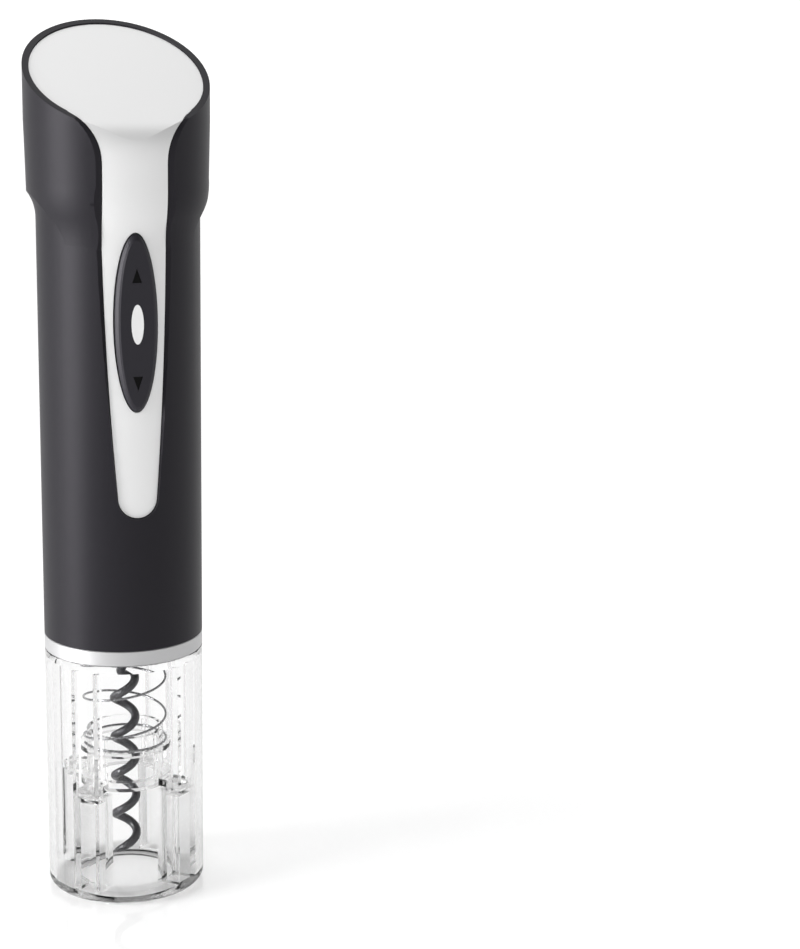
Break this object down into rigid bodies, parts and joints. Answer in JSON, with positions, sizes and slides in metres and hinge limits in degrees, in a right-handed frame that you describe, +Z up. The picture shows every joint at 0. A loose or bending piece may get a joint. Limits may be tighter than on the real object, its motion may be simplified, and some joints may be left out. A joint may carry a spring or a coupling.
{
  "type": "electric wine opener",
  "caption": "Upright electric corkscrew: dark round body with a slanted head, silver face plate with a rocker button, clear bell with the worm, cork sleeve and return spring.",
  "frame": {"origin": "centre of the bell's bottom rim, where the opener stands on the table or on the bottle", "axes": "+Z up along the worm; -Y is the front, with the face plate and the rocker button; +X is the opener's left seen from behind the plate"},
  "size_m": [0.0574, 0.0563, 0.2798],
  "materials": {
    "soft_black": "soft-touch matt",
    "plate_silver": "fine satin",
    "ring_silver": "satin",
    "clear_plastic": "clear polycarbonate",
    "steel": "plain",
    "spring_steel": "polished wire",
    "worm_coating": "smooth non-stick coating",
    "nylon": "moulded",
    "grey_plastic": "moulded",
    "brass": "plain",
    "copper": "enamelled copper wire and bars",
    "magnet": "sintered",
    "cell_wrap": "shrink film",
    "board": "solder mask",
    "parts_black": "moulded",
    "button_black": "satin",
    "window_white": "translucent",
    "red_plastic": "moulded",
    "wire_cover": "soft"
  },
  "bodies": {
    "housing": {"front_housing": "soft_black", "rear_housing": "soft_black", "face_plate": "plate_silver", "trim_ring": "ring_silver", "bell": "clear_plastic", "housing_screws": "steel", "gearbox_mount": "nylon", "output_bush": "brass", "thrust_washer": "nylon", "gearbox_case": "grey_plastic", "ring_gear": "nylon", "motor_flange": "steel", "gearbox_screws": "steel", "motor_can": "steel", "motor_magnets": "magnet", "motor_end_cap": "nylon", "motor_brushes": "brass", "motor_terminals": "brass", "return_spring": "spring_steel", "battery_cells": "cell_wrap", "battery_holder": "parts_black", "battery_tabs": "steel", "control_board": "board", "board_parts": "parts_black", "board_screws": "steel", "switch_bodies": "grey_plastic", "status_led": "window_white", "button_bracket": "nylon", "button_pin": "steel", "charge_jack": "parts_black", "wires": "wire_cover"},
    "spindle": {"worm": "worm_coating", "worm_hub": "steel", "hub_screw": "steel", "carrier_3": "steel", "carrier_pins_3": "steel"},
    "second_carrier": {"carrier_2": "steel", "carrier_pins_2": "steel"},
    "first_carrier": {"carrier_1": "steel", "carrier_pins_1": "steel"},
    "rotor": {"motor_shaft": "steel", "armature_core": "steel", "armature_windings": "copper", "commutator": "copper", "motor_pinion": "brass"},
    "sleeve": {"cork_sleeve": "clear_plastic"},
    "rocker": {"rocker_button": "button_black", "button_window": "window_white"},
    "upper_plunger": {"switch_plunger_up": "red_plastic"},
    "lower_plunger": {"switch_plunger_down": "red_plastic"},
    "planet_1a_body": {"planet_1a": "nylon"},
    "planet_1b_body": {"planet_1b": "nylon"},
    "planet_1c_body": {"planet_1c": "nylon"},
    "planet_2a_body": {"planet_2a": "nylon"},
    "planet_2b_body": {"planet_2b": "nylon"},
    "planet_2c_body": {"planet_2c": "nylon"},
    "planet_3a_body": {"planet_3a": "nylon"},
    "planet_3b_body": {"planet_3b": "nylon"},
    "planet_3c_body": {"planet_3c": "nylon"}
  },
  "joints": [
    {"name": "worm_spin", "type": "hinge", "parent": "housing", "child": "spindle", "pos_m": [0, 0, 0.09], "axis": [0, 0, -1], "continuous": true},
    {"name": "second_carrier_spin", "type": "hinge", "parent": "housing", "child": "second_carrier", "pos_m": [0, 0, 0.1], "axis": [0, 0, -1], "continuous": true},
    {"name": "first_carrier_spin", "type": "hinge", "parent": "housing", "child": "first_carrier", "pos_m": [0, 0, 0.108], "axis": [0, 0, -1], "continuous": true},
    {"name": "motor_spin", "type": "hinge", "parent": "housing", "child": "rotor", "pos_m": [0, 0, 0.13], "axis": [0, 0, -1], "continuous": true},
    {"name": "planet_3a_spin", "type": "hinge", "parent": "spindle", "child": "planet_3a_body", "pos_m": [0.0081, 0, 0.0994], "axis": [0, 0, -1], "continuous": true},
    {"name": "planet_3b_spin", "type": "hinge", "parent": "spindle", "child": "planet_3b_body", "pos_m": [-0.00405, 0.00701, 0.0994], "axis": [0, 0, -1], "continuous": true},
    {"name": "planet_3c_spin", "type": "hinge", "parent": "spindle", "child": "planet_3c_body", "pos_m": [-0.00405, -0.00701, 0.0994], "axis": [0, 0, -1], "continuous": true},
    {"name": "planet_2a_spin", "type": "hinge", "parent": "second_carrier", "child": "planet_2a_body", "pos_m": [0.0081, 0, 0.1072], "axis": [0, 0, -1], "continuous": true},
    {"name": "planet_2b_spin", "type": "hinge", "parent": "second_carrier", "child": "planet_2b_body", "pos_m": [-0.00405, 0.00701, 0.1072], "axis": [0, 0, -1], "continuous": true},
    {"name": "planet_2c_spin", "type": "hinge", "parent": "second_carrier", "child": "planet_2c_body", "pos_m": [-0.00405, -0.00701, 0.1072], "axis": [0, 0, -1], "continuous": true},
    {"name": "planet_1a_spin", "type": "hinge", "parent": "first_carrier", "child": "planet_1a_body", "pos_m": [0.0081, 0, 0.115], "axis": [0, 0, -1], "continuous": true},
    {"name": "planet_1b_spin", "type": "hinge", "parent": "first_carrier", "child": "planet_1b_body", "pos_m": [-0.00405, 0.00701, 0.115], "axis": [0, 0, -1], "continuous": true},
    {"name": "planet_1c_spin", "type": "hinge", "parent": "first_carrier", "child": "planet_1c_body", "pos_m": [-0.00405, -0.00701, 0.115], "axis": [0, 0, -1], "continuous": true},
    {"name": "sleeve_slide", "type": "slide", "parent": "housing", "child": "sleeve", "axis": [0, 0, 1], "range_m": [0, 0.028], "stiffness_N_per_m": 150, "springref_m": -0.01, "deforming": ["return_spring"]},
    {"name": "rocker_tilt", "type": "hinge", "parent": "housing", "child": "rocker", "pos_m": [0, -0.0202, 0.1902], "axis": [-1, 0, 0], "range_deg": [-2.5, 2.5], "stiffness_Nm_per_rad": 0.05},
    {"name": "upper_plunger_slide", "type": "slide", "parent": "housing", "child": "upper_plunger", "axis": [0, 1, 0], "range_m": [-0.0008, 0.0008]},
    {"name": "lower_plunger_slide", "type": "slide", "parent": "housing", "child": "lower_plunger", "axis": [0, 1, 0], "range_m": [-0.0008, 0.0008]}
  ],
  "couplings": [
    {"joint": "second_carrier_spin", "follows": "worm_spin", "ratio": 4.5},
    {"joint": "first_carrier_spin", "follows": "worm_spin", "ratio": 20.25},
    {"joint": "motor_spin", "follows": "worm_spin", "ratio": 91.125},
    {"joint": "planet_3a_spin", "follows": "worm_spin", "ratio": -2.8},
    {"joint": "planet_3b_spin", "follows": "worm_spin", "ratio": -2.8},
    {"joint": "planet_3c_spin", "follows": "worm_spin", "ratio": -2.8},
    {"joint": "planet_2a_spin", "follows": "worm_spin", "ratio": -12.6},
    {"joint": "planet_2b_spin", "follows": "worm_spin", "ratio": -12.6},
    {"joint": "planet_2c_spin", "follows": "worm_spin", "ratio": -12.6},
    {"joint": "planet_1a_spin", "follows": "worm_spin", "ratio": -56.7},
    {"joint": "planet_1b_spin", "follows": "worm_spin", "ratio": -56.7},
    {"joint": "planet_1c_spin", "follows": "worm_spin", "ratio": -56.7},
    {"joint": "upper_plunger_slide", "follows": "rocker_tilt", "m_per_rad": 0.017},
    {"joint": "lower_plunger_slide", "follows": "rocker_tilt", "m_per_rad": -0.017}
  ]
}
